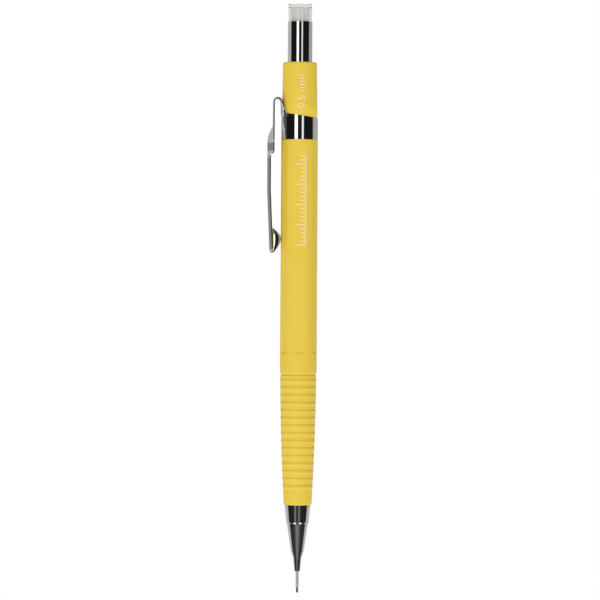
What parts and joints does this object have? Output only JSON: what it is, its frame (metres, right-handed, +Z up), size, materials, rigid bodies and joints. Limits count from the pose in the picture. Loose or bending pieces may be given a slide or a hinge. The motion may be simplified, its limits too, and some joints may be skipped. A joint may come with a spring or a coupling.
{
  "type": "mechanical pencil",
  "caption": "Push-button mechanical pencil with a ribbed grip, a spring pocket clip, a screw-off cone and a capped eraser.",
  "frame": {"origin": "on the barrel's axis at the mouth of the lead sleeve; the lead stands out below it", "axes": "+Z runs up the barrel's axis towards the push button, and the pocket clip is on the -X side"},
  "size_m": [0.0125, 0.009, 0.146],
  "materials": {
    "yellow_plastic": "satin moulded barrel plastic",
    "clip_chrome": "bright chromium plate on spring steel",
    "tube_chrome": "bright chromium plate on brass tube",
    "cone_plate": "dark bright plate on turned brass",
    "sleeve_steel": "drawn stainless tube",
    "graphite": "polymer-bonded graphite lead",
    "brass": "turned brass",
    "spring_steel": "drawn spring wire",
    "natural_plastic": "natural polypropylene",
    "black_rubber": "soft rubber",
    "white_eraser": "soft white vinyl eraser",
    "clear_plastic": "clear moulded styrene"
  },
  "bodies": {
    "barrel": {"barrel": "yellow_plastic", "clip_band": "clip_chrome", "spring_seat": "brass", "return_spring": "spring_steel"},
    "clip_arm": {"clip_arm": "clip_chrome"},
    "button": {"button_tube": "tube_chrome", "tube_head": "natural_plastic", "lead_magazine": "natural_plastic", "chuck_rod": "brass"},
    "eraser": {"eraser": "white_eraser"},
    "eraser_cap": {"eraser_cap": "clear_plastic"},
    "clutch_ring": {"clutch_ring": "brass"},
    "writing_lead": {"writing_lead": "graphite"},
    "tip_slide": {"lead_retainer": "black_rubber"},
    "tip": {"tip_cone": "cone_plate", "lead_sleeve": "sleeve_steel"},
    "chuck_jaw_1": {"chuck_jaw_1": "brass"},
    "chuck_jaw_2": {"chuck_jaw_2": "brass"},
    "chuck_jaw_3": {"chuck_jaw_3": "brass"},
    "spare_lead_1": {"spare_lead_1": "graphite"},
    "spare_lead_2": {"spare_lead_2": "graphite"},
    "spare_lead_3": {"spare_lead_3": "graphite"}
  },
  "joints": [
    {"name": "clip_flex", "type": "hinge", "parent": "barrel", "child": "clip_arm", "pos_m": [-0.0055, 0, 0.12126], "axis": [0, 1, 0], "range_deg": [0, 6], "stiffness_Nm_per_rad": 2.7},
    {"name": "button_press", "type": "slide", "parent": "barrel", "child": "button", "axis": [0, 0, -1], "range_m": [0, 0.004], "stiffness_N_per_m": 600, "springref_m": -0.0025, "deforming": ["return_spring"]},
    {"name": "eraser_pull", "type": "slide", "parent": "button", "child": "eraser", "axis": [0, 0, 1], "range_m": [0, 0.014]},
    {"name": "cap_pull", "type": "slide", "parent": "eraser", "child": "eraser_cap", "axis": [0, 0, 1], "range_m": [0, 0.008]},
    {"name": "ring_travel", "type": "slide", "parent": "barrel", "child": "clutch_ring", "axis": [0, 0, -1], "range_m": [0, 0.0012]},
    {"name": "lead_feed", "type": "slide", "parent": "clutch_ring", "child": "writing_lead", "axis": [0, 0, -1], "range_m": [-0.0013, 0.04]},
    {"name": "tip_travel", "type": "slide", "parent": "barrel", "child": "tip_slide", "axis": [0, 0, -1], "range_m": [0, 0.006]},
    {"name": "tip_unscrew", "type": "hinge", "parent": "tip_slide", "child": "tip", "pos_m": [0, 0, 0.0205], "axis": [0, 0, -1], "range_deg": [0, 4320]},
    {"name": "jaw_1_open", "type": "hinge", "parent": "button", "child": "chuck_jaw_1", "pos_m": [0, 0.0009, 0.025], "axis": [1, 0, 0], "range_deg": [0, 2.5]},
    {"name": "jaw_2_open", "type": "hinge", "parent": "button", "child": "chuck_jaw_2", "pos_m": [-0.00078, -0.00045, 0.025], "axis": [-0.5, 0.866, 0], "range_deg": [0, 2.5]},
    {"name": "jaw_3_open", "type": "hinge", "parent": "button", "child": "chuck_jaw_3", "pos_m": [0.00078, -0.00045, 0.025], "axis": [-0.5, -0.866, 0], "range_deg": [0, 2.5]},
    {"name": "spare_lead_1_slide", "type": "slide", "parent": "button", "child": "spare_lead_1", "axis": [0, 0, 1], "range_m": [0, 0.038]},
    {"name": "spare_lead_2_slide", "type": "slide", "parent": "button", "child": "spare_lead_2", "axis": [0, 0, 1], "range_m": [0, 0.038]},
    {"name": "spare_lead_3_slide", "type": "slide", "parent": "button", "child": "spare_lead_3", "axis": [0, 0, 1], "range_m": [0, 0.038]}
  ],
  "couplings": [
    {"joint": "ring_travel", "follows": "button_press", "ratio": 0.3},
    {"joint": "tip_unscrew", "follows": "tip_travel", "rad_per_m": 12566},
    {"joint": "jaw_1_open", "follows": "button_press", "rad_per_m": 10.908},
    {"joint": "jaw_2_open", "follows": "button_press", "rad_per_m": 10.908},
    {"joint": "jaw_3_open", "follows": "button_press", "rad_per_m": 10.908}
  ]
}
